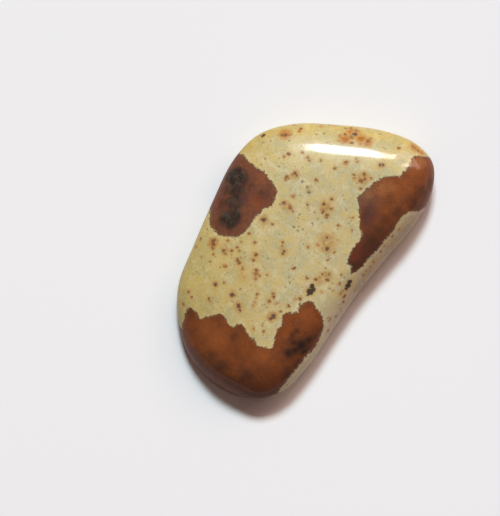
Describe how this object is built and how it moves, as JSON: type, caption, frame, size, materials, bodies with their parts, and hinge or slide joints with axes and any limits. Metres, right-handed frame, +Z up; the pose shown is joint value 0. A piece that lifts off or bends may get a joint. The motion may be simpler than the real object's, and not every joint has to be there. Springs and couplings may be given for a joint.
{
  "type": "polished porcelanite stone",
  "caption": "Small free-form porcelanite stone, tumble polished, with a low domed top, rolled shoulders and a small flat spot to rest on.",
  "frame": {"origin": "middle of the stone's length and width, on the flat spot that it rests on", "axes": "+Y along the stone's length, +X across it towards the almost straight flank, +Z up through the domed top"},
  "size_m": [0.0116, 0.0196, 0.003],
  "materials": {
    "polished_porcelanite": "high polish, cream with rust specks and brown patches"
  },
  "bodies": {
    "root": {"stone": "polished_porcelanite"}
  },
  "joints": []
}
